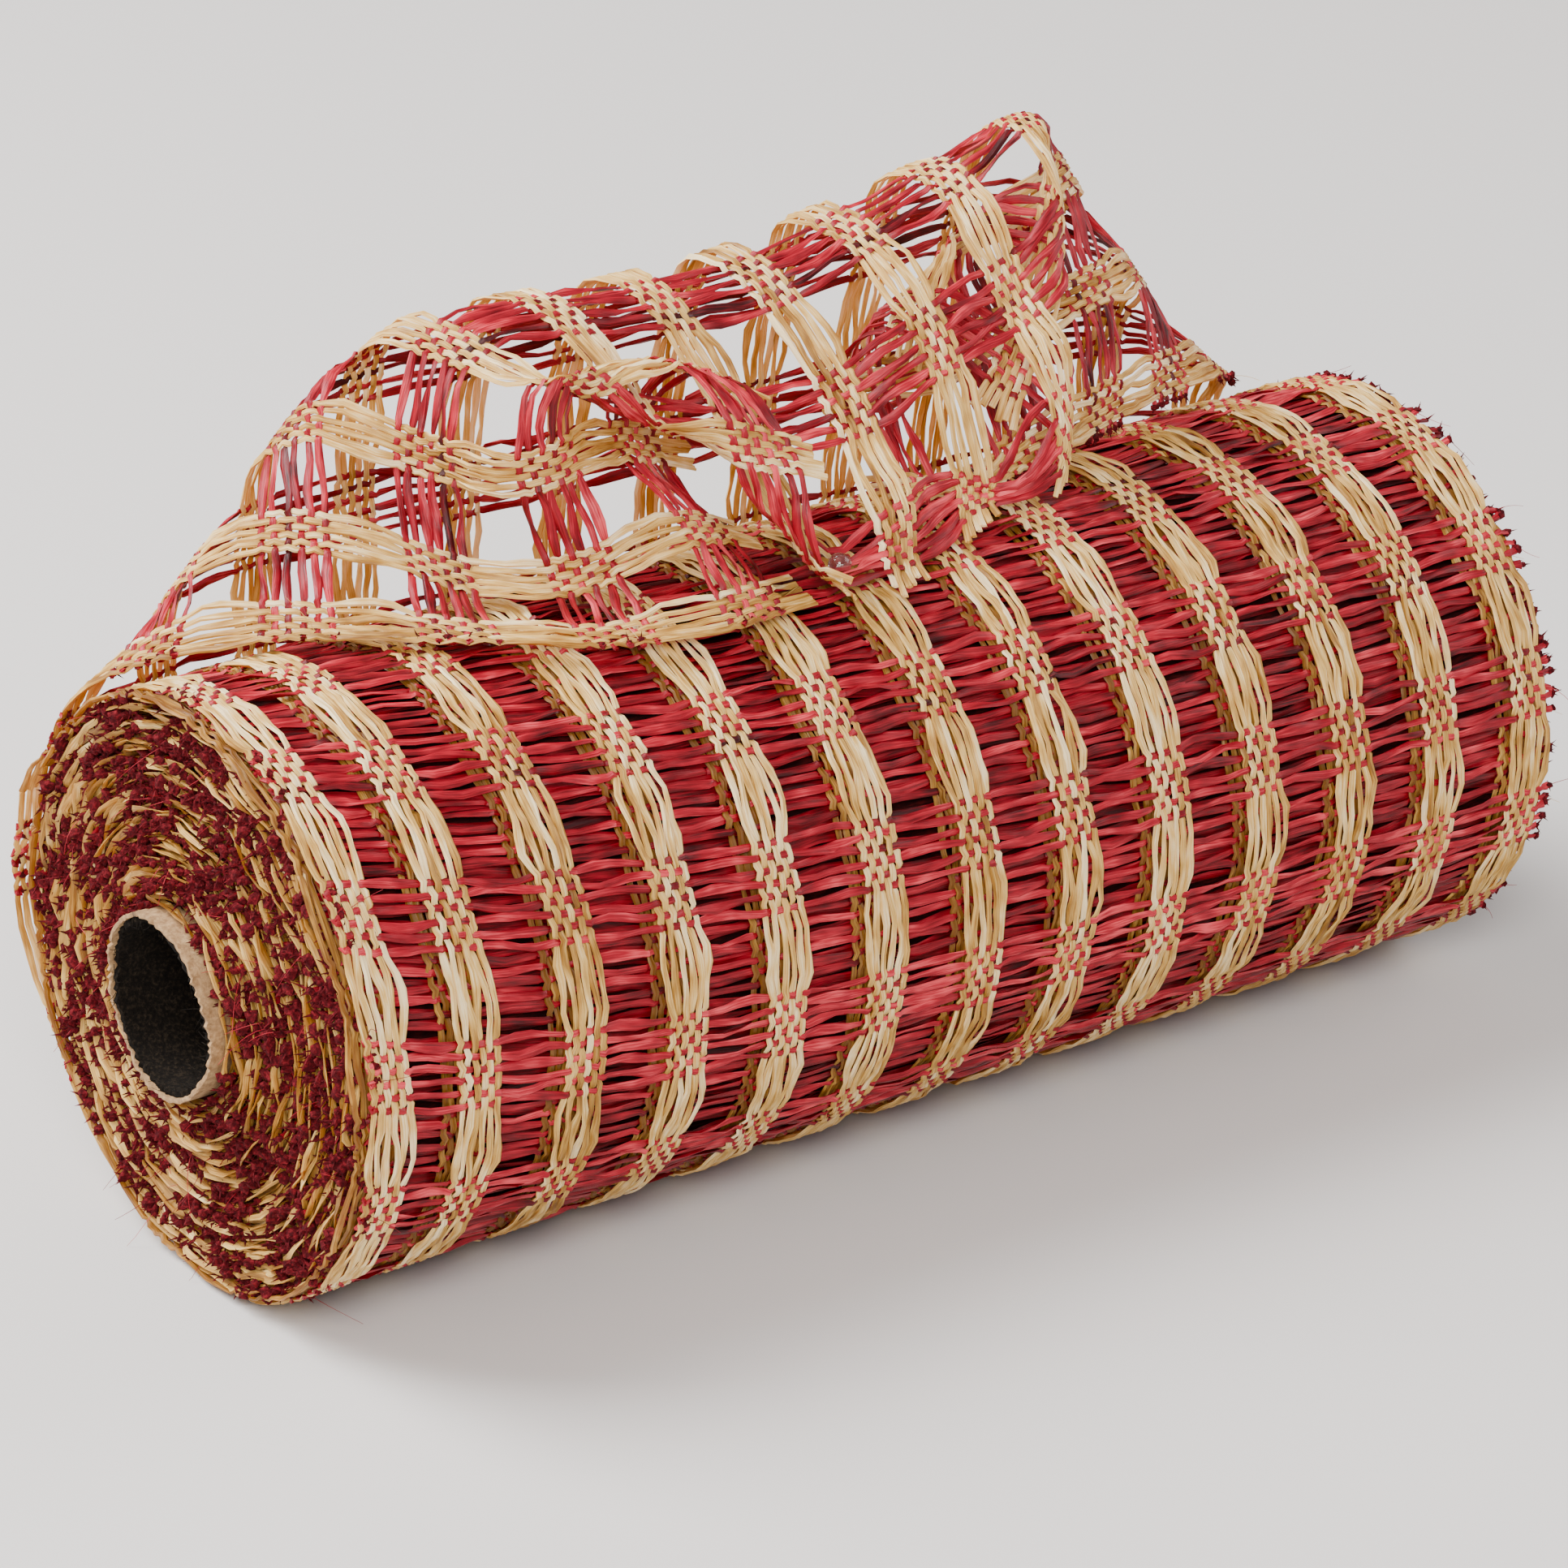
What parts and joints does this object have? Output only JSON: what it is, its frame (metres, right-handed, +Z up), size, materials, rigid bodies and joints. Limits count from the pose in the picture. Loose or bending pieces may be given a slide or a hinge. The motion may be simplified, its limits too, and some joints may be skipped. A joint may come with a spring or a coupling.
{
  "type": "paper mesh roll",
  "caption": "Roll of open-weave paper mesh wound on a cardboard core, its free end looped over the top and held to the roll by ball-headed pins",
  "frame": {"origin": "middle of the flat foot that the soft roll rests on", "axes": "+X along the roll towards the end whose core is sunk in, +Z up, +Y to the side where the free end leaves the roll"},
  "size_m": [0.262, 0.1181, 0.1648],
  "materials": {
    "natural_paper": "straw-coloured flat paper strips, softly creased, satin",
    "red_paper": "carmine flat paper strips, creased along their length, satin",
    "kraft_board": "brown kraft liner, matte",
    "grey_board": "grey chipboard ply, matte and fibrous",
    "clear_glass": "clear, slightly green, polished",
    "plated_steel": "nickel-plated wire, bright"
  },
  "bodies": {
    "roll": {"core_inner_ply": "grey_board", "core_outer_liner": "kraft_board", "wound_mesh": "natural_paper", "warp_band_01": "natural_paper", "warp_band_02": "natural_paper", "warp_band_03": "natural_paper", "warp_band_04": "natural_paper", "warp_band_05": "natural_paper", "warp_band_06": "natural_paper", "warp_band_07": "natural_paper", "warp_band_08": "natural_paper", "warp_band_09": "natural_paper", "warp_band_10": "natural_paper", "warp_band_11": "natural_paper", "warp_band_12": "natural_paper", "warp_band_13": "natural_paper", "weft_group_01": "red_paper", "weft_group_02": "red_paper", "weft_group_03": "red_paper", "weft_group_04": "red_paper", "weft_group_05": "red_paper", "weft_group_06": "red_paper", "weft_group_07": "red_paper", "weft_group_08": "red_paper", "weft_group_09": "red_paper", "weft_group_10": "red_paper", "weft_group_11": "red_paper"},
    "free_end": {"free_warp_band_01": "natural_paper", "free_warp_band_02": "natural_paper", "free_warp_band_03": "natural_paper", "free_warp_band_04": "natural_paper", "free_warp_band_05": "natural_paper", "free_warp_band_06": "natural_paper", "free_warp_band_07": "natural_paper", "free_warp_band_08": "natural_paper", "free_warp_band_09": "natural_paper", "free_warp_band_10": "natural_paper", "free_warp_band_11": "natural_paper", "free_warp_band_12": "natural_paper", "free_warp_band_13": "natural_paper", "free_weft_group_01": "red_paper", "free_weft_group_02": "red_paper", "free_weft_group_03": "red_paper", "free_weft_group_04": "red_paper", "free_weft_group_05_near": "red_paper", "free_weft_group_05_far": "red_paper", "free_weft_group_06_near": "red_paper", "free_weft_group_06_far": "red_paper"},
    "pin_near": {"pin_head_near": "clear_glass", "pin_shank_near": "plated_steel"},
    "pin_far": {"pin_head_far": "clear_glass", "pin_shank_far": "plated_steel"}
  },
  "joints": [
    {"name": "free_end_swing", "type": "hinge", "parent": "roll", "child": "free_end", "pos_m": [0, 0.0485, 0.08161], "axis": [-1, 0, 0], "range_deg": [0, 70]},
    {"name": "pin_near_draw", "type": "slide", "parent": "free_end", "child": "pin_near", "axis": [0, 0.3813, 0.9244], "range_m": [0, 0.03]},
    {"name": "pin_far_draw", "type": "slide", "parent": "free_end", "child": "pin_far", "axis": [0, 0.5031, 0.8642], "range_m": [0, 0.03]}
  ]
}
